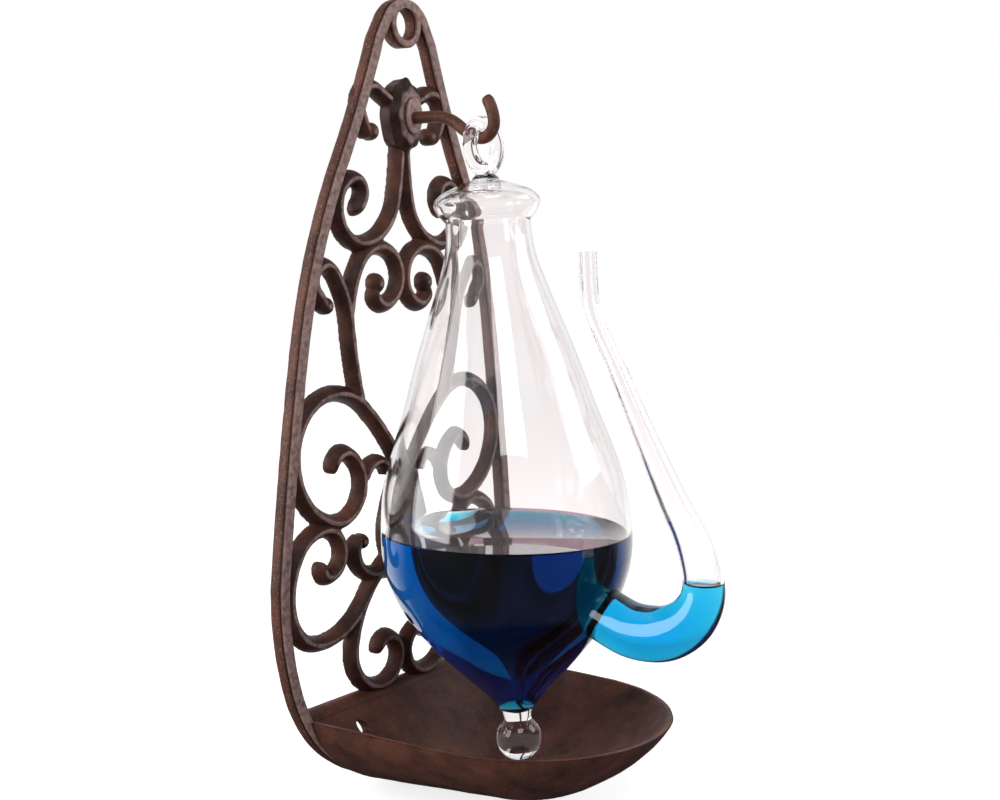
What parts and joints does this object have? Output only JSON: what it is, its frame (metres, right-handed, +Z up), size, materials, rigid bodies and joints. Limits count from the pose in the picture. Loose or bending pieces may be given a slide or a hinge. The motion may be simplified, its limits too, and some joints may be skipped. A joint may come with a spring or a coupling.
{
  "type": "weather glass",
  "caption": "Glass flask with an upturned spout, part full of blue liquid, hung from a hook on a cast iron wall bracket of scrollwork with a drip dish.",
  "frame": {"origin": "centre of the hanging eye's bore, in the plane of the bracket's back", "axes": "+Z up, +Y into the wall, so the front faces -Y, +X to the right seen from the front"},
  "size_m": [0.1444, 0.1436, 0.3023],
  "materials": {
    "dark_iron": "rusty",
    "worn_iron": "worn",
    "clear_glass": "gloss",
    "dark_blue_liquid": "gloss",
    "blue_liquid": "gloss"
  },
  "bodies": {
    "bracket": {"rim_arch": "worn_iron", "rim_left": "worn_iron", "rim_right": "worn_iron", "rim_bottom": "dark_iron", "hanging_eye": "worn_iron", "c_scroll_left": "dark_iron", "c_scroll_right": "dark_iron", "rosette_plate": "dark_iron", "rosette_petals": "dark_iron", "rosette_disc": "worn_iron", "hook": "dark_iron", "lyre_left": "dark_iron", "lyre_right": "dark_iron", "volute_left": "dark_iron", "volute_right": "dark_iron", "cane_left": "dark_iron", "cane_right": "dark_iron", "oval_left": "dark_iron", "oval_right": "dark_iron", "link_left": "dark_iron", "link_right": "dark_iron", "centre_leaf": "dark_iron", "heart_left": "dark_iron", "heart_right": "dark_iron", "lower_c_left": "dark_iron", "lower_c_right": "dark_iron", "foot_spiral_left": "dark_iron", "foot_spiral_right": "dark_iron", "base_rail": "dark_iron", "dish_bowl": "worn_iron", "dish_back": "dark_iron"},
    "vessel": {"hanging_ring": "clear_glass", "neck_bead": "clear_glass", "bulb": "clear_glass", "spout": "clear_glass", "drip_ball": "clear_glass", "bulb_liquid": "dark_blue_liquid", "spout_liquid": "blue_liquid"}
  },
  "joints": [
    {"name": "flask_swing", "type": "hinge", "parent": "bracket", "child": "vessel", "pos_m": [0, -0.0413, -0.0442], "axis": [0, 1, 0], "range_deg": [-6, 6]}
  ]
}
